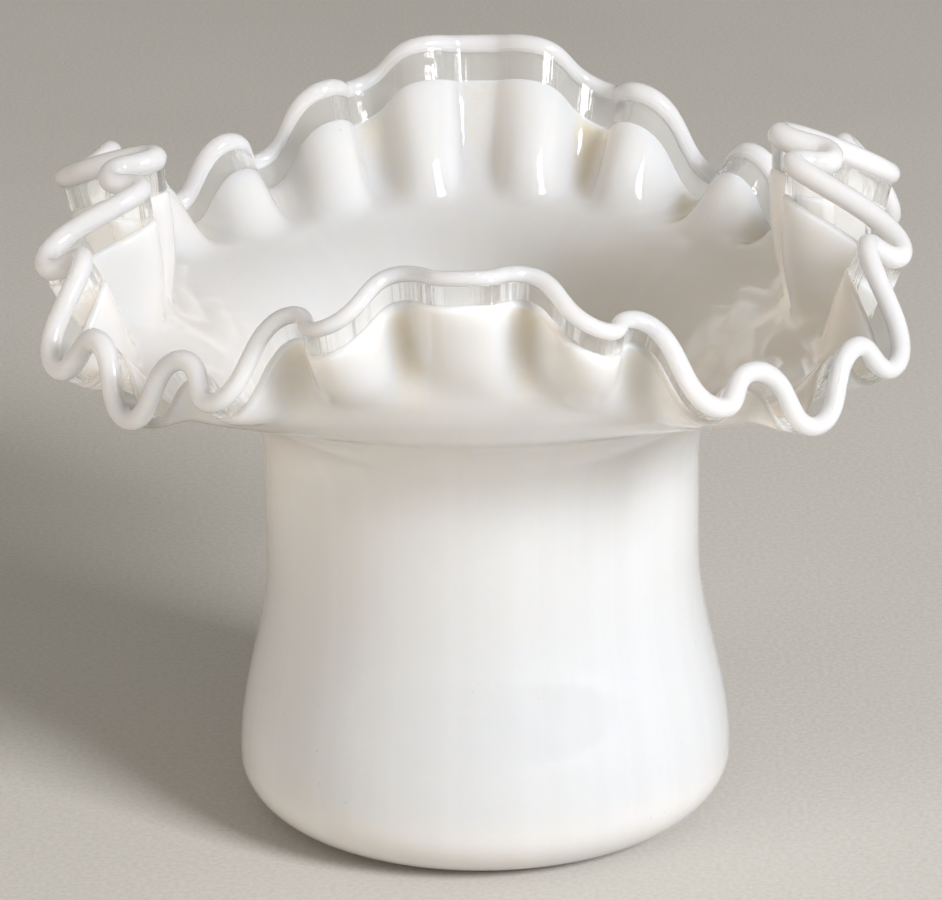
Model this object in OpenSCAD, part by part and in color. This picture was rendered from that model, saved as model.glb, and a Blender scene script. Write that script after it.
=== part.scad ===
// A glass hat that stands on its crown: opal glass, with a clear band and an opal trail at its ruffled brim.
// Millimetres. The origin is the middle of the foot, +Z is up, and the front of the hat faces -Y.

/* [Crown] */
// Widest diameter of the crown, just above the foot
crown_d = 100; // [80:1:120]
// Diameter of the flat foot, inside the rounded lower edge
foot_d = 69; // [56:1:80]
// Height of the rounded lower edge
corner_h = 12; // [7:0.5:17]
// Diameter of the waist under the brim
waist_d = 87.5; // [76:0.5:96]
// Height at which the bell of the crown has narrowed to the waist
bell_h = 55; // [40:1:70]
// Height of the straight neck above the bell
neck_h = 21; // [12:1:32]
// Thickness of the blown wall, in the crown and in the brim
wall = 3; // [2:0.25:3.5]
// Thickness of the floor over the hollow of the foot
floor_t = 4; // [3:0.5:8]
// Width of the flat ring that the hat stands on
foot_ring_w = 8; // [5:0.5:12]
// Depth of the shallow hollow under the foot
hollow_h = 2.5; // [1:0.25:4]

/* [Brim] */
// Height above the top of the neck at which the flare of the brim bends out
flare_rise = 26; // [20:1:32]
// Height of the shelf of the brim above the top of the neck
shelf_rise = 24; // [18:1:30]
// Reach of the shelf at the side lobes, beyond the middle of the neck wall
side_shelf = 22.75; // [17:0.25:29]
// Reach of the shelf at the front and back lobes, beyond the middle of the neck wall
end_shelf = 34.75; // [27:0.25:42]
// Reach of the shelf in the dips, beyond the middle of the neck wall
dip_shelf = 32.75; // [26:0.25:40]
// Height of the two side lobes above the shelf
side_rise = 38.5; // [32:0.5:45]
// Reach of the two side lobes beyond the shelf
side_reach = 1.5; // [0:0.5:12]
// Height of the front and back lobes above the shelf
end_rise = 38.5; // [32:0.5:45]
// Reach of the front and back lobes beyond the shelf
end_reach = 16.5; // [10:0.5:24]
// Height of the four dips above the shelf
dip_rise = 9; // [5:0.5:17]
// Reach of the four dips beyond the shelf
dip_reach = 18.5; // [12:0.5:26]
// How far round to the back the tops of the side lobes are set, in degrees
set_back = 1.5; // [0:0.5:4]

/* [Flutes] */
// Number of flutes crimped round the brim
flutes = 24; // [16:4:28]
// Depth of the flutes on the side lobes, each way from the middle of the sheet
side_depth = 10.5; // [5:0.5:11]
// Depth of the flutes on the front and back lobes
end_depth = 5.5; // [3:0.5:7]
// Depth of the flutes in the dips
dip_depth = 6.6; // [4:0.2:8]
// Slant of the flutes on the side lobes, in degrees below level
side_lean = 27; // [20:0.5:34]
// Slant of the flutes on the front and back lobes, in degrees below level
end_lean = 31; // [20:1:50]
// Slant of the flutes in the dips, in degrees below level
dip_lean = 66; // [56:0.5:75]
// Share of the depth that the middle flute of each lobe loses
pinch = 0.54; // [0:0.02:0.6]
// Roundness of the flutes on the side lobes: 0 is a plain wave, and more gives rounder crests
side_round = 0.6; // [0:0.05:0.8]
// Roundness of the flutes on the front and back lobes
end_round = 0.35; // [0:0.05:0.8]
// Roundness of the flutes in the dips
dip_round = 0.45; // [0:0.05:0.8]

/* [Edge] */
// Width of the clear band, from the opal brim to the trail
band_w = 6.2; // [4:0.2:10]
// Diameter of the trail laid on the rim
trail_d = 4.4; // [4:0.2:6.4]

/* [Hidden] */

// Hand-made unevenness of the rim, every 45 degrees from the right, round by the back: how far it stands up,
// how far it stands out, how many degrees it is turned, the share of the even depth that its flutes have,
// how much later on the way to the rim they begin, and how many degrees more they slant
uneven = [
    [0, -1, -4.5, 0.9, 0, -13],
    [-1.5, 0.5, -1.5, 1.25, 0, 14],
    [-3.5, 0.5, 0, 0.6, 0, 4],
    [3.5, -1.5, -1.5, 1, 0, 10],
    [-3, 2.5, 3, 0.75, 0, -20],
    [1, -2.5, -1.5, 1, 0.28, 15],
    [2.5, -2.5, -2, 0.85, 0.33, -28],
    [0.5, 1.5, -4, 0.9, 0.28, 15]
];
station_step = 360 / len(uneven);

// How strongly the flare, the shelf and the rim draw the sheet towards them
flare_pull = 3.5;
shelf_pull = 24;
rim_pull = 15;
// Where the flutes begin on the way from the neck to the rim
flute_start = 0.4;
// How much of the rest of the way they take to reach their full depth, lobe by lobe
side_full = 1;
end_full = 0.62;
dip_full = 1.3;
// How far they puff out below the rim at the back, as a share of their depth.
// At the sides they puff out half as far, and at the front not at all
side_puff = 0.4;
end_puff = 1.2;
dip_puff = 0.2;
// Share of its width by which the band is wider at the back, and narrower at the front
band_more_back = 0.18;
// How narrowly the pinch keeps to the middle of a lobe
pinch_power = 40;
// How narrowly the reach of a lobe keeps to its middle
reach_power = 2;

// Steps of the curves
flute_steps = 8;
brim_rings = 11;
ring_crowding = 1.5;
trail_sides = 10;
arc_steps = 10;
bell_steps = 14;
$fn = 96;

columns = flutes * flute_steps;
crown_r = crown_d / 2;
foot_r = foot_d / 2;
waist_r = waist_d / 2;
trail_r = trail_d / 2;
half_wall = wall / 2;
floor_z = hollow_h + floor_t;
neck_top = bell_h + neck_h;
flare_z = neck_top + flare_rise;
shelf_z = neck_top + shelf_rise;
neck_mid_r = waist_r - half_wall;

// The trail sits astride the edge of the band, which cuts a flat across its round section
trail_seat = sqrt(trail_r * trail_r - half_wall * half_wall);

// Distance between two samples of the sheet when its slopes are measured, and when its run to the rim is
probe = 0.01;
rim_probe = 0.05;

function mix(a, b, s) = a + (b - a) * s;

// Outer radius of the bell at a height
function bell_r(z) =
    let(s = max(0, min(1, (z - corner_h) / (bell_h - corner_h))))
    mix(crown_r, waist_r, (1 - cos(180 * s)) / 2);

// 1 at the top of each of the four lobes and 0 in the dips between them
function lobe_angle(u) = u - set_back * cos(u);
function lobe(u) = pow(cos(2 * lobe_angle(u)), 2);
function on_side(u) = abs(cos(lobe_angle(u))) > abs(sin(lobe_angle(u)));

// A value round the brim, from its size on the side lobes, on the front and back lobes and in the dips
function round_brim(u, side, end, dip, power = 1) =
    mix(dip, on_side(u) ? side : end, pow(lobe(u), power));

// Unevenness at an angle, eased from one station to the next
function off_even(u) =
    let(n = len(uneven), at = u / station_step, i = floor(at), s = (1 - cos(180 * (at - i))) / 2)
    mix(uneven[(i + n) % n], uneven[(i + 1) % n], s);

// Middle of the glass sheet, from the neck (t = 0) to the trail at the rim (t = 1), at an angle round the hat
function sheet(t, u) =
    let(
        off = off_even(u),
        shelf_r = neck_mid_r + round_brim(u, side_shelf, end_shelf, dip_shelf, reach_power),
        rim_r = shelf_r + round_brim(u, side_reach, end_reach, dip_reach, reach_power) + off[1],
        rim_z = shelf_z + round_brim(u, side_rise, end_rise, dip_rise) + off[0],
        start = pow(1 - t, 3),
        first = 3 * t * pow(1 - t, 2) * flare_pull,
        second = 3 * t * t * (1 - t) * shelf_pull,
        last = pow(t, 3) * rim_pull,
        whole = start + first + second + last,
        even_r = ((start + first) * neck_mid_r + second * shelf_r + last * rim_r) / whole,
        even_z = (start * neck_top + first * flare_z + second * shelf_z + last * rim_z) / whole,
        begin = flute_start + off[4],
        along = max(0, t - begin) / (1 - begin),
        s = min(1, along / round_brim(u, side_full, end_full, dip_full)),
        puff = round_brim(u, side_puff, end_puff, dip_puff) * (1 + sin(u)) / 2,
        grown = s * s * (3 - 2 * s) * (1 + puff * (1 - along)),
        kept = 1 - pinch * pow(cos(2 * u), pinch_power),
        depth = round_brim(u, side_depth, end_depth, dip_depth) * off[3],
        deep = depth * kept * grown * cos(flutes * u),
        lean = round_brim(u, side_lean, end_lean, dip_lean) + off[5],
        r = even_r + deep * cos(lean),
        crest_round = round_brim(u, side_round, end_round, dip_round),
        crest_turn = crest_round / (2 * flutes) * 180 / PI * sin(2 * flutes * u) * grown,
        a = u + crest_turn + off[2] * t
    )
    [r * cos(a), r * sin(a), even_z - deep * sin(lean)];

function unit(v) = v / norm(v);
function up_sheet(t, u) = unit(sheet(t, u) - sheet(t - probe, u));
function along_sheet(t, u) = sheet(t, u + probe) - sheet(t, u - probe);
function out_of_sheet(t, u) = unit(cross(along_sheet(t, u), up_sheet(t, u)));

// The two faces of the sheet: side is 1 for the outer face and -1 for the inner face
function face(t, u, side) = sheet(t, u) + side * half_wall * out_of_sheet(t, u);

// How far along the sheet, from neck to rim, the band meets the trail and the opal glass meets the band
function rim_run(u) = norm(sheet(1, u) - sheet(1 - rim_probe, u)) / rim_probe;
function trail_at(u) = 1 - trail_seat / rim_run(u);
function band_width(u) = band_w * (1 + band_more_back * sin(u));
function band_at(u) = 1 - (trail_seat + band_width(u)) / rim_run(u);

// A closed ring whose section changes from column to column
module ring_solid(sections) {
    n = len(sections);
    k = len(sections[0]);
    corner = function (j, i) (j % n) * k + i % k;
    polyhedron(
        points = [for (section = sections) each section],
        faces = [
            for (j = [0 : n - 1])
                for (i = [0 : k - 1])
                    each [
                        [corner(j, i), corner(j, i + 1), corner(j + 1, i + 1)],
                        [corner(j, i), corner(j + 1, i + 1), corner(j + 1, i)]
                    ]
        ],
        convexity = 12
    );
}

function column_angle(j) = 360 * j / columns;

// How far along the sheet each ring of the brim lies: the rings stand closer where the neck flares
function ring_at(i) = pow(i / brim_rings, ring_crowding);

// Blown crown of opal glass: a flat foot with a shallow hollow, a rounded edge, a bell and a straight neck
module opal_crown() {
    inner_corner_z = floor_z + corner_h - hollow_h;
    inner_corner_r = bell_r(inner_corner_z) - wall - foot_r;
    hollow_r = foot_r - foot_ring_w;
    outer_corner = [
        for (i = [0 : arc_steps])
            let(a = 90 * i / arc_steps)
            [foot_r + (crown_r - foot_r) * sin(a), corner_h * (1 - cos(a))]
    ];
    outer_bell = [
        for (i = [1 : bell_steps])
            let(z = mix(corner_h, bell_h, i / bell_steps))
            [bell_r(z), z]
    ];
    inner_bell = [
        for (i = [bell_steps : -1 : 1])
            let(z = mix(inner_corner_z, bell_h, i / bell_steps))
            [bell_r(z) - wall, z]
    ];
    inner_corner = [
        for (i = [arc_steps : -1 : 0])
            let(a = 90 * i / arc_steps)
            [foot_r + inner_corner_r * sin(a), mix(inner_corner_z, floor_z, cos(a))]
    ];
    color("white")
        rotate_extrude()
            polygon(concat(
                [[0, hollow_h], [hollow_r - hollow_h, hollow_h], [hollow_r, 0]],
                outer_corner,
                outer_bell,
                [[waist_r, neck_top], [waist_r - wall, neck_top]],
                inner_bell,
                inner_corner,
                [[0, floor_z]]
            ));
}

// Ruffled brim of the same opal glass, which goes on from the top of the neck
module opal_brim() {
    color("white")
        ring_solid([
            for (j = [0 : columns - 1])
                let(
                    u = column_angle(j),
                    end = band_at(u),
                    dir = [cos(u), sin(u), 0],
                    low = [0, 0, neck_top]
                )
                concat(
                    [waist_r * dir + low],
                    [for (i = [1 : brim_rings]) face(end * ring_at(i), u, 1)],
                    [for (i = [brim_rings : -1 : 1]) face(end * ring_at(i), u, -1)],
                    [(waist_r - wall) * dir + low]
                )
        ]);
}

// Clear glass band between the opal brim and the trail
module clear_band() {
    color([0.85, 0.88, 0.87, 0.5])
        ring_solid([
            for (j = [0 : columns - 1])
                let(u = column_angle(j), low = band_at(u), high = trail_at(u))
                [face(low, u, 1), face(high, u, 1), face(high, u, -1), face(low, u, -1)]
        ]);
}

// Opal trail wound on hot over the edge of the clear band
module rim_trail() {
    seat_turn = 180 - asin(half_wall / trail_r);
    color("white")
        ring_solid([
            for (j = [0 : columns - 1])
                let(
                    u = column_angle(j),
                    seat = trail_at(u),
                    middle = sheet(1, u),
                    up = up_sheet(1, u),
                    out = out_of_sheet(1, u)
                )
                concat(
                    [face(seat, u, -1), face(seat, u, 1)],
                    [
                        for (i = [1 : trail_sides - 2])
                            let(a = mix(seat_turn, -seat_turn, i / (trail_sides - 1)))
                            middle + trail_r * (up * cos(a) + out * sin(a))
                    ]
                )
        ]);
}

opal_crown();
opal_brim();
clear_band();
rim_trail();
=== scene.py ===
import math

import bpy
import numpy as np
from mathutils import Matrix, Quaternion, Vector


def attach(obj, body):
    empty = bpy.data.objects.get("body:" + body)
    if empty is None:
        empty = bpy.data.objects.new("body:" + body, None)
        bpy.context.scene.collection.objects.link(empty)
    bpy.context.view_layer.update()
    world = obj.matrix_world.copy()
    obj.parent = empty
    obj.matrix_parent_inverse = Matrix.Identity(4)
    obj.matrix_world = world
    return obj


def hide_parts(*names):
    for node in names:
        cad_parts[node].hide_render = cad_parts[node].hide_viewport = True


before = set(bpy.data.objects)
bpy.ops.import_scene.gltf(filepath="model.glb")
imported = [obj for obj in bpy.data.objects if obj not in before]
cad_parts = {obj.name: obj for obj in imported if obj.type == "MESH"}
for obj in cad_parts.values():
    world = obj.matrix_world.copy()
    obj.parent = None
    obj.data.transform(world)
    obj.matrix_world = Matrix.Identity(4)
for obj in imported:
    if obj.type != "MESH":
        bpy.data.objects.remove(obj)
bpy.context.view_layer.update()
scene = bpy.context.scene
scene.view_settings.view_transform = "Standard"

# Camera: a long lens, about 20 degrees above level in front of the hat, tipped a little to one side.
# Its lens is for a picture 942 pixels wide, on a sensor 36 mm wide.
camera_place = Vector((0.0, -1.0778, 0.4509))
camera_aim = Vector((-0.0021, 0.0, 0.0754))
camera_roll = math.radians(-0.8)
camera_data = bpy.data.cameras.new("camera")
camera_data.sensor_width = 36.0
camera_data.lens = 216.7
camera_data.clip_start = 0.05
camera_data.clip_end = 50.0
camera = bpy.data.objects.new("camera", camera_data)
look = (camera_aim - camera_place).to_track_quat("-Z", "Y")
camera.rotation_mode = "QUATERNION"
camera.rotation_quaternion = look @ Quaternion((0, 0, 1), camera_roll)
camera.location = camera_place
scene.collection.objects.link(camera)
scene.camera = camera


# Floor: pale warm grey paper that lies flat under the hat and far behind it.
# Its material is a node tree written as plain arithmetic on the outputs of its nodes.
class Shade:
    """One output of a shader node, which plain arithmetic can be written with."""

    def __init__(self, socket):
        self.socket = socket

    def node(self, kind, settings, inputs, output=0):
        """Adds a node of this kind to the same tree and returns one of its outputs."""
        tree = self.socket.id_data
        made = tree.nodes.new(kind)
        for name, value in settings.items():
            setattr(made, name, value)
        for name, value in inputs.items():
            if isinstance(value, Shade):
                tree.links.new(value.socket, made.inputs[name])
            else:
                made.inputs[name].default_value = value
        return Shade(made.outputs[output])

    def maths(self, operation, first, second):
        return self.node("ShaderNodeMath", {"operation": operation}, {0: first, 1: second})

    def __add__(self, other):
        return self.maths("ADD", self, other)

    def __radd__(self, other):
        return self.maths("ADD", other, self)

    def __mul__(self, other):
        return self.maths("MULTIPLY", self, other)

    def __rmul__(self, other):
        return self.maths("MULTIPLY", other, self)

    def ramp(self, low, high):
        """0 up to low, 1 from high on, and a smooth step between them."""
        limits = {"Value": self, "From Min": low, "From Max": high}
        return self.node("ShaderNodeMapRange", {"interpolation_type": "SMOOTHSTEP"}, limits)

    def blend(self, first, second):
        """The first colour where this value is 0 and the second where it is 1."""
        return self.node("ShaderNodeMix", {"data_type": "RGBA"}, {0: self, 6: first, 7: second}, 2)

    def feed(self, shader, name):
        self.socket.id_data.links.new(self.socket, shader.inputs[name])


def new_material(name):
    """A material with one Principled shader, and the object coordinates that its patterns start from."""
    material = bpy.data.materials.new(name)
    material.use_nodes = True
    shader = material.node_tree.nodes["Principled BSDF"]
    place = material.node_tree.nodes.new("ShaderNodeTexCoord").outputs["Object"]
    return material, shader, Shade(place)


def noise(place, scale, detail=2.0, roughness=0.5):
    """Cloudy values from 0 to 1, about 0.5 on average."""
    settings = {"Vector": place, "Scale": scale, "Detail": detail, "Roughness": roughness}
    return place.node("ShaderNodeTexNoise", {}, settings)


floor_half = 8.0
floor_mesh = bpy.data.meshes.new("floor")
floor_corners = [(x * floor_half, y * floor_half, 0.0) for x, y in ((-1, -1), (1, -1), (1, 1), (-1, 1))]
floor_mesh.from_pydata(floor_corners, [], [(0, 1, 2, 3)])
floor = bpy.data.objects.new("floor", floor_mesh)
scene.collection.objects.link(floor)
paper, paper_shader, paper_place = new_material("paper")
paper_grain = noise(paper_place, 900.0, 4.0)
paper_cloud = noise(paper_place, 9.0)
paper_tone = (paper_grain * 0.75 + paper_cloud * 0.25).ramp(0.3, 0.7)
paper_dark = (0.523, 0.512, 0.473, 1)
paper_pale = (0.595, 0.584, 0.547, 1)
paper_tone.blend(paper_dark, paper_pale).feed(paper_shader, "Base Color")
paper_shader.inputs["Roughness"].default_value = 0.9
paper_shader.inputs["Specular IOR Level"].default_value = 0.2
paper_grain.node(
    "ShaderNodeBump", {}, {"Strength": 0.2, "Distance": 0.0004, "Height": paper_grain}
).feed(paper_shader, "Normal")
floor.data.materials.append(paper)

# Light: a square softbox to the right, in front and above, a dim panel low on the left, and a dim even room.
# The panel only lifts the shadows, so the glass doesn't mirror it.
room = bpy.data.worlds.new("room")
room.use_nodes = True
room.node_tree.nodes["Background"].inputs["Color"].default_value = (0.344, 0.328, 0.302, 1)
scene.world = room

hat_middle = Vector((0.0, 0.0, 0.08))


def panel(name, place, size, power, colour, mirrored):
    """A square lamp aimed at the hat, which the glass mirrors or doesn't."""
    data = bpy.data.lights.new(name, "AREA")
    data.shape = "SQUARE"
    data.size = size
    data.energy = power
    data.color = colour
    lamp = bpy.data.objects.new(name, data)
    lamp.location = place
    lamp.rotation_euler = (hat_middle - lamp.location).to_track_quat("-Z", "Y").to_euler()
    lamp.visible_camera = False
    lamp.visible_glossy = mirrored
    scene.collection.objects.link(lamp)


key_place = (1.135, -1.127, 0.888)
fill_place = (-1.8, -1.2, 0.2)
panel("key", key_place, size=0.57, power=41.0, colour=(1.0, 0.985, 1.01), mirrored=True)
panel("fill", fill_place, size=0.9, power=24.5, colour=(1.0, 0.86, 0.75), mirrored=False)

# Opal body: one gather of milk white glass, the blown crown that the hat stands on and its ruffled brim.
# It is one closed skin: under the foot, up the outside, over the edge of the brim and down the inside.
# The brim is a sheet that goes from the neck (t = 0) to the rim (t = 1) at each angle u round the hat.
crown_r = 0.050
foot_r = 0.0345
corner_h = 0.012
waist_r = 0.04375
bell_h = 0.055
neck_top = 0.076
wall = 0.003
floor_z = 0.0065
foot_ring_w = 0.008
hollow_h = 0.0025
flare_z = 0.102
shelf_z = 0.100
flare_pull, shelf_pull, rim_pull = 3.5, 24.0, 15.0
side_shelf, end_shelf, dip_shelf = 0.065, 0.077, 0.075
side_rise, end_rise, dip_rise = 0.0385, 0.0385, 0.009
side_reach, end_reach, dip_reach = 0.0665, 0.0935, 0.0935
side_depth, end_depth, dip_depth = 0.0105, 0.0055, 0.0066
side_lean, end_lean, dip_lean = (math.radians(lean) for lean in (27, 31, 66))
set_back = math.radians(1.5)
flutes = 24
pinch, pinch_power = 0.54, 40
reach_power = 2
side_round, end_round, dip_round = 0.6, 0.35, 0.45
flute_start = 0.4
side_full, end_full, dip_full = 1.0, 0.62, 1.3
side_puff, end_puff, dip_puff = 0.4, 1.2, 0.2
band_w = 0.0062
band_more_back = 0.18
trail_r = 0.0022
half_wall = wall / 2
neck_mid_r = waist_r - half_wall
trail_seat = math.sqrt(trail_r**2 - half_wall**2)

# Unevenness of the rim every 45 degrees from the right, round by the back:
# metres up, metres out, degrees turned, depth of the flutes as a share of the even depth,
# how much later on the way to the rim they begin, and degrees that they slant more
uneven = np.array(
    [
        (0.0, -0.0010, -4.5, 0.9, 0.0, -13.0),
        (-0.0015, 0.0005, -1.5, 1.25, 0.0, 14.0),
        (-0.0035, 0.0005, 0.0, 0.6, 0.0, 4.0),
        (0.0035, -0.0015, -1.5, 1.0, 0.0, 10.0),
        (-0.0030, 0.0025, 3.0, 0.75, 0.0, -20.0),
        (0.0010, -0.0025, -1.5, 1.0, 0.28, 15.0),
        (0.0025, -0.0025, -2.0, 0.85, 0.33, -28.0),
        (0.0005, 0.0015, -4.0, 0.9, 0.28, 15.0),
    ]
)


def mix(first, second, share):
    return first + (second - first) * share


def round_brim(u, side, end, dip, power=1):
    """A value round the brim, from its size on the side lobes, the front and back lobes and the dips."""
    lobe_angle = u - set_back * np.cos(u)
    lobe = np.cos(2 * lobe_angle) ** 2
    on_side = np.abs(np.cos(lobe_angle)) > np.abs(np.sin(lobe_angle))
    return mix(dip, np.where(on_side, side, end), lobe**power)


def off_even(u):
    """Unevenness at an angle, eased from one station to the next."""
    at = u / (2 * math.pi) * len(uneven)
    station = np.floor(at).astype(int)
    share = (1 - np.cos(math.pi * (at - station))) / 2
    here = uneven[station % len(uneven)]
    return mix(here, uneven[(station + 1) % len(uneven)], share[..., None])


def sheet(t, u):
    """Middle of the glass sheet: an even curve from neck to rim, waved by the flutes."""
    t, u = np.broadcast_arrays(np.asarray(t, float), np.asarray(u, float))
    up, out, turn, depth, late, slant = np.moveaxis(off_even(u), -1, 0)
    shelf_r = round_brim(u, side_shelf, end_shelf, dip_shelf, reach_power)
    rim_r = round_brim(u, side_reach, end_reach, dip_reach, reach_power) + out
    rim_z = shelf_z + round_brim(u, side_rise, end_rise, dip_rise) + up
    start = (1 - t) ** 3
    first = 3 * t * (1 - t) ** 2 * flare_pull
    second = 3 * t**2 * (1 - t) * shelf_pull
    last = t**3 * rim_pull
    whole = start + first + second + last
    even_r = ((start + first) * neck_mid_r + second * shelf_r + last * rim_r) / whole
    even_z = (start * neck_top + first * flare_z + second * shelf_z + last * rim_z) / whole
    begin = flute_start + late
    along = np.clip(t - begin, 0, None) / (1 - begin)
    share = np.clip(along / round_brim(u, side_full, end_full, dip_full), 0, 1)
    puff = round_brim(u, side_puff, end_puff, dip_puff) * (1 + np.sin(u)) / 2
    grown = share**2 * (3 - 2 * share) * (1 + puff * (1 - along))
    kept = 1 - pinch * np.cos(2 * u) ** pinch_power
    deep = round_brim(u, side_depth, end_depth, dip_depth) * depth * kept * grown * np.cos(flutes * u)
    lean = round_brim(u, side_lean, end_lean, dip_lean) + np.radians(slant)
    r = even_r + deep * np.cos(lean)
    crest_round = round_brim(u, side_round, end_round, dip_round)
    crest_turn = crest_round / (2 * flutes) * np.sin(2 * flutes * u) * grown
    a = u + crest_turn + np.radians(turn) * t
    return np.stack([r * np.cos(a), r * np.sin(a), even_z - deep * np.sin(lean)], -1)


def unit(v):
    return v / np.linalg.norm(v, axis=-1, keepdims=True)


def up_sheet(t, u):
    """Direction along the sheet towards the rim."""
    step = 0.004
    return unit(sheet(t + step, u) - sheet(t - step, u))


def out_of_sheet(t, u):
    """Direction out of the sheet's outer face."""
    step = math.radians(0.05)
    along = sheet(t, u + step) - sheet(t, u - step)
    return unit(np.cross(along, up_sheet(t, u)))


def face(t, u, offset):
    """A point of the sheet, set off from its middle towards its outer face."""
    return sheet(t, u) + np.asarray(offset)[..., None] * out_of_sheet(t, u)


def skin(name, rows, closed):
    """A mesh over rings of points, closed into a tube or by a point at the middle of each end ring."""
    count, columns = rows.shape[:2]
    points = rows.reshape(-1, 3)
    across = np.arange(columns)
    beside = (across + 1) % columns
    faces = []
    for row in range(count if closed else count - 1):
        low = row * columns
        high = (row + 1) % count * columns
        faces += np.stack([low + across, low + beside, high + beside, high + across], -1).tolist()
    if not closed:
        points = np.concatenate([points, rows[0].mean(0)[None], rows[-1].mean(0)[None]])
        last = (count - 1) * columns
        faces += np.stack([np.full(columns, count * columns), beside, across], -1).tolist()
        faces += np.stack([np.full(columns, count * columns + 1), last + across, last + beside], -1).tolist()
    mesh = bpy.data.meshes.new(name)
    mesh.from_pydata(points.tolist(), [], faces)
    mesh.shade_smooth()
    piece = bpy.data.objects.new(name, mesh)
    scene.collection.objects.link(piece)
    return piece


def note(piece, name, values):
    """Keeps one number a vertex on a mesh, for its material to read."""
    kept = piece.data.attributes.new(name, "FLOAT", "POINT")
    kept.data.foreach_set("value", np.ascontiguousarray(values, np.float32))


flute_steps = 28
brim_rings = 37
ring_crowding = 1.3
corner_steps = 12
outer_steps = 17
inner_steps = 12
tip_steps = 9
columns = flutes * flute_steps
angles = np.arange(columns) * 2 * math.pi / columns
rim_step = 0.05
rim_run = np.linalg.norm(sheet(1, angles) - sheet(1 - rim_step, angles), axis=-1) / rim_step
band_at = 1 - (trail_seat + band_w * (1 + band_more_back * np.sin(angles))) / rim_run


def bell_r(z):
    """Outer radius of the crown's bell at a height."""
    share = np.clip((z - corner_h) / (bell_h - corner_h), 0, 1)
    return mix(crown_r, waist_r, (1 - np.cos(math.pi * share)) / 2)


hollow_r = foot_r - foot_ring_w
inner_corner_z = floor_z + corner_h - hollow_h
quarter = np.linspace(0, math.pi / 2, corner_steps)
middle_share = 0.15
hollow_rings = 7
hollow_flatness = 4
foot_ring_shares = (0.04, 0.35, 0.7, 0.97)
floor_shares = (0.75, 0.45, middle_share)
hollow_share = np.linspace(middle_share, 1, hollow_rings)
hollow = np.stack([hollow_share * hollow_r, hollow_h * (1 - hollow_share**hollow_flatness)], -1)
foot_ring = np.array([(mix(hollow_r, foot_r, share), 0.0) for share in foot_ring_shares])
outer_corner = np.stack([foot_r + (crown_r - foot_r) * np.sin(quarter), corner_h * (1 - np.cos(quarter))], -1)
outer_z = np.linspace(corner_h, neck_top, outer_steps)[1:-1]
outer_bell = np.stack([bell_r(outer_z), outer_z], -1)
inner_z = np.linspace(neck_top, inner_corner_z, inner_steps)[1:]
inner_bell = np.stack([bell_r(inner_z) - wall, inner_z], -1)
inner_corner_r = bell_r(inner_corner_z) - wall - foot_r
inner_sweep = quarter[::-1][1:]
inner_corner = np.stack(
    [foot_r + inner_corner_r * np.sin(inner_sweep), mix(inner_corner_z, floor_z, np.cos(inner_sweep))], -1
)
inner_floor = np.array([(foot_r * share, floor_z) for share in floor_shares])


def turned(profile):
    """Rings of points from a profile of radius and height."""
    r, z = profile[:, :1], profile[:, 1:]
    return np.stack([r * np.cos(angles), r * np.sin(angles), z + 0 * angles], -1)


brim_share = np.linspace(0, 1, brim_rings)[:, None] ** ring_crowding
brim_t = brim_share * band_at
tip_l = 0.0011
tip_sweep = np.linspace(0, math.pi, tip_steps)[1:-1, None]
tip_t = band_at + tip_l * np.sin(tip_sweep) / rim_run
tip_offset = half_wall * np.cos(tip_sweep) + 0 * angles
body_rows = np.concatenate(
    [
        turned(np.concatenate([hollow, foot_ring, outer_corner, outer_bell])),
        face(brim_t, angles, np.full_like(brim_t, half_wall)),
        face(tip_t, angles, tip_offset),
        face(brim_t[::-1], angles, np.full_like(brim_t, -half_wall)),
        turned(np.concatenate([inner_bell, inner_corner, inner_floor])),
    ]
)
body = skin("opal_body", body_rows, False)
lower_count = len(hollow) + len(foot_ring) + len(outer_corner) + len(outer_bell)
inner_count = len(inner_bell) + len(inner_corner) + len(inner_floor)
brim_grown = np.clip((brim_t - flute_start) / (1 - flute_start), 0, 1)
brim_wave = np.cos(flutes * angles) * brim_grown
recess = np.concatenate(
    [
        np.zeros((lower_count, columns)),
        -brim_wave,
        np.zeros_like(tip_offset),
        brim_wave[::-1],
        np.zeros((inner_count, columns)),
    ]
)
note(body, "recess", np.concatenate([recess.ravel(), (0.0, 0.0)]))


def streaks(place, scale):
    """Cloudy values that run up and down the hat, and change only on the way round it."""
    flat = place.node("ShaderNodeVectorMath", {"operation": "MULTIPLY"}, {0: place, 1: (1.0, 1.0, 0.0)})
    return noise(place.node("ShaderNodeVectorMath", {"operation": "NORMALIZE"}, {0: flat}), scale, 3.0)


# Milk white with faint streaks and a few specks, and with dust and stains in the hollows of the flutes; the
# dust there is also painted shade that darkens the hollows
opal, opal_shader, opal_place = new_material("opal_glass")
recessed = opal_place.node("ShaderNodeAttribute", {"attribute_name": "recess"}, {}, 2)
opal_cloud = noise(opal_place, 40.0, 3.0)
opal_grain = noise(opal_place, 700.0, 3.0, 0.7)
# Dust in the hollows of the flutes, which is also painted shade: it darkens the hollows brown where their
# shading falls
opal_dust_and_shade = recessed.ramp(0.25, 0.95) * (opal_cloud * 0.55 + opal_grain * 0.45).ramp(0.36, 0.62)
opal_stain = recessed.ramp(0.4, 0.8) * opal_cloud.ramp(0.6, 0.72)
opal_speck = noise(opal_place, 1100.0, 1.0).ramp(0.74, 0.8) * opal_cloud.ramp(0.56, 0.62)
opal_swirl = streaks(opal_place, 9.0)
milk_white = (0.648, 0.640, 0.628, 1)
milk_pale = (0.662, 0.654, 0.642, 1)
# Brown of the dust and of the painted shade in the hollows
dust_and_shade_brown = (0.69, 0.59, 0.46, 1)
stain_brown = (0.66, 0.48, 0.31, 1)
speck_brown = (0.45, 0.36, 0.27, 1)
opal_milk = opal_swirl.ramp(0.4, 0.7).blend(milk_white, milk_pale)
opal_dusty_and_shaded = (opal_dust_and_shade * 0.8).blend(opal_milk, dust_and_shade_brown)
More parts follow.
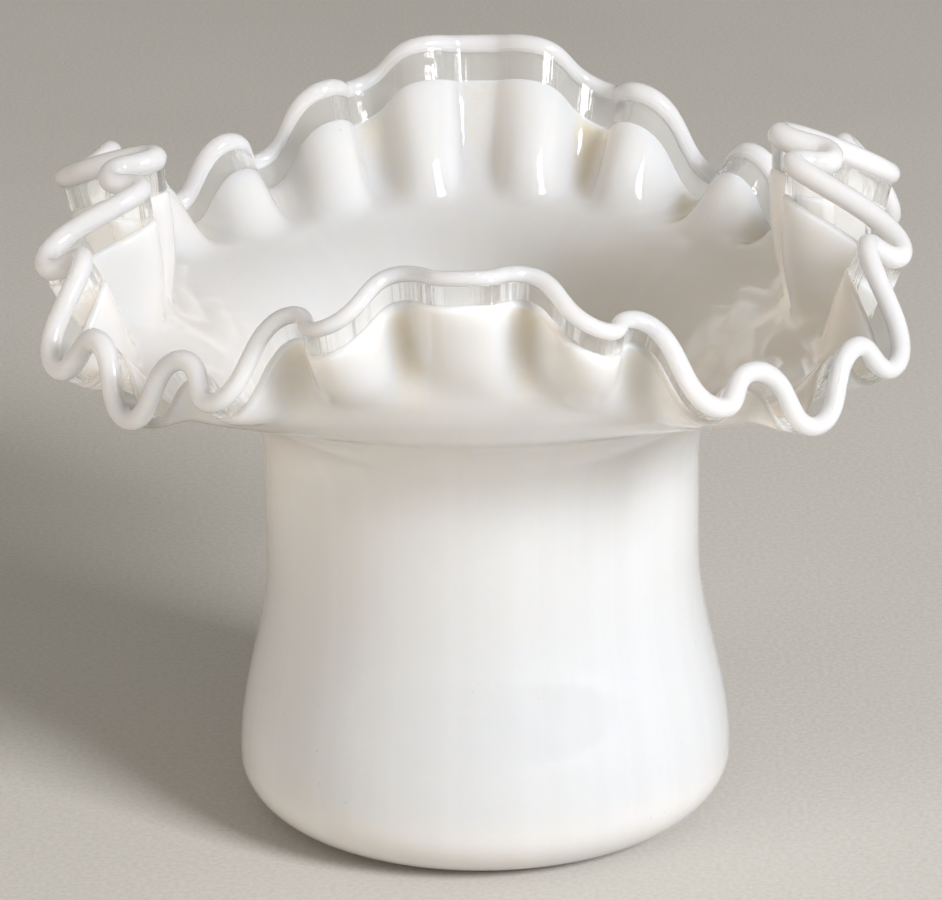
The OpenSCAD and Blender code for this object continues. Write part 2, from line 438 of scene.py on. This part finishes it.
opal_stained = (opal_stain * 0.45).blend(opal_dusty_and_shaded, stain_brown)
(opal_speck * 0.5).blend(opal_stained, speck_brown).feed(opal_shader, "Base Color")
opal_gloss = noise(opal_place, 60.0, 3.0) * 0.03 + opal_dust_and_shade * 0.12 + 0.02
opal_gloss.feed(opal_shader, "Roughness")
opal_shader.inputs["IOR"].default_value = 1.5
opal_shader.inputs["Subsurface Weight"].default_value = 1.0
opal_shader.inputs["Subsurface Radius"].default_value = (1.0, 0.8, 0.6)
opal_shader.inputs["Subsurface Scale"].default_value = 0.016
opal_wave = noise(opal_place, 45.0, 2.0) + streaks(opal_place, 24.0) * 0.25
opal_wave.node(
    "ShaderNodeBump", {}, {"Strength": 0.1, "Distance": 0.001, "Height": opal_wave}
).feed(opal_shader, "Normal")
body.data.materials.append(opal)
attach(body, "root")
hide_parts("opal_crown", "opal_brim")

# Clear band: colourless glass fused to the edge of the opal brim, which it takes into its lower edge.
# Its upper edge lies inside the trail. It is a closed ring that follows the same sheet.
bury_l = 0.0006
bury_in = 0.0004
band_edge_half = 0.0011
band_rings = 9
band_share = np.linspace(0, 1, band_rings)[:, None]
band_outer_t = mix(band_at, np.ones_like(angles), band_share)
band_low_t = band_at - bury_l / rim_run
band_half = mix(half_wall, band_edge_half, band_share) + 0 * angles
band_low_half = np.full_like(angles, half_wall - bury_in)
band_rows = np.concatenate(
    [
        face(band_low_t, angles, band_low_half)[None],
        face(band_outer_t, angles, band_half),
        face(band_outer_t[::-1], angles, -band_half),
        face(band_low_t, angles, -band_low_half)[None],
    ]
)
band = skin("clear_band", band_rows, True)
clear, clear_shader, clear_place = new_material("clear_glass")
clear_wave = noise(clear_place, 120.0, 2.0) + streaks(clear_place, 70.0) * 0.8
clear_bright = (0.97, 0.975, 0.97, 1)
clear_dull = (0.92, 0.93, 0.92, 1)
clear_wave.ramp(0.6, 1.2).blend(clear_bright, clear_dull).feed(clear_shader, "Base Color")
(noise(clear_place, 200.0) * 0.03).feed(clear_shader, "Roughness")
clear_shader.inputs["IOR"].default_value = 1.5
clear_shader.inputs["Transmission Weight"].default_value = 0.9
clear_wave.node(
    "ShaderNodeBump", {}, {"Strength": 0.35, "Distance": 0.001, "Height": clear_wave}
).feed(clear_shader, "Normal")
# Its shadow is pale, because light passes through clear glass
clear_tree = clear.node_tree
clear_out = clear_tree.nodes["Material Output"]
light_path = clear_place.node("ShaderNodeLightPath", {}, {}, 1)
shadow_tint = (0.93, 0.94, 0.93, 1)
see_through = clear_place.node("ShaderNodeBsdfTransparent", {}, {"Color": shadow_tint})
glass = Shade(clear_shader.outputs["BSDF"])
clear_mix = clear_place.node("ShaderNodeMixShader", {}, {0: light_path, 1: glass, 2: see_through})
clear_tree.links.new(clear_mix.socket, clear_out.inputs["Surface"])
band.data.materials.append(clear)
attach(band, "root")
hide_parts("clear_band")

# Rim trail: a round thread of opal glass wound on hot over the edge of the clear band.
# It is a closed tube along the rim, a little thicker in some places than in others.
trail_more_back = 0.1
trail_sides = 24
trail_flute_steps = 36
side_trail_r, end_trail_r, dip_trail_r = 0.0023, 0.0017, 0.0021
long_swells, long_swell, long_swell_start = 5, 0.06, 1.0
short_swells, short_swell = 17, 0.04
trail_steps = flutes * trail_flute_steps
trail_angles = np.arange(trail_steps) * 2 * math.pi / trail_steps
trail_lobe_r = round_brim(trail_angles, side_trail_r, end_trail_r, dip_trail_r)
trail_even_r = trail_lobe_r * (1 + trail_more_back * np.sin(trail_angles))
long_wave = long_swell * np.sin(long_swells * trail_angles + long_swell_start)
short_wave = short_swell * np.sin(short_swells * trail_angles)
trail_swell = trail_even_r * (1 + long_wave + short_wave)
trail_turn = np.arange(trail_sides)[:, None, None] * 2 * math.pi / trail_sides
trail_out = out_of_sheet(1.0, trail_angles)
trail_up = up_sheet(1.0, trail_angles)
trail_way = np.cos(trail_turn) * trail_out + np.sin(trail_turn) * trail_up
trail_rows = sheet(1.0, trail_angles) + trail_swell[:, None] * trail_way
trail = skin("rim_trail", trail_rows, True)
thread, thread_shader, thread_place = new_material("trail_glass")
thread_cloud = noise(thread_place, 70.0, 3.0)
thread_white = (0.87, 0.868, 0.865, 1)
thread_grey = (0.82, 0.818, 0.815, 1)
thread_cloud.ramp(0.3, 0.7).blend(thread_white, thread_grey).feed(thread_shader, "Base Color")
(noise(thread_place, 150.0) * 0.04 + 0.02).feed(thread_shader, "Roughness")
thread_shader.inputs["IOR"].default_value = 1.5
thread_shader.inputs["Transmission Weight"].default_value = 0.25
thread_shader.inputs["Subsurface Weight"].default_value = 1.0
thread_shader.inputs["Subsurface Radius"].default_value = (1.0, 0.9, 0.8)
thread_shader.inputs["Subsurface Scale"].default_value = 0.009
thread_cloud.node(
    "ShaderNodeBump", {}, {"Strength": 0.1, "Distance": 0.001, "Height": thread_cloud}
).feed(thread_shader, "Normal")
trail.data.materials.append(thread)
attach(trail, "root")
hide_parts("rim_trail")
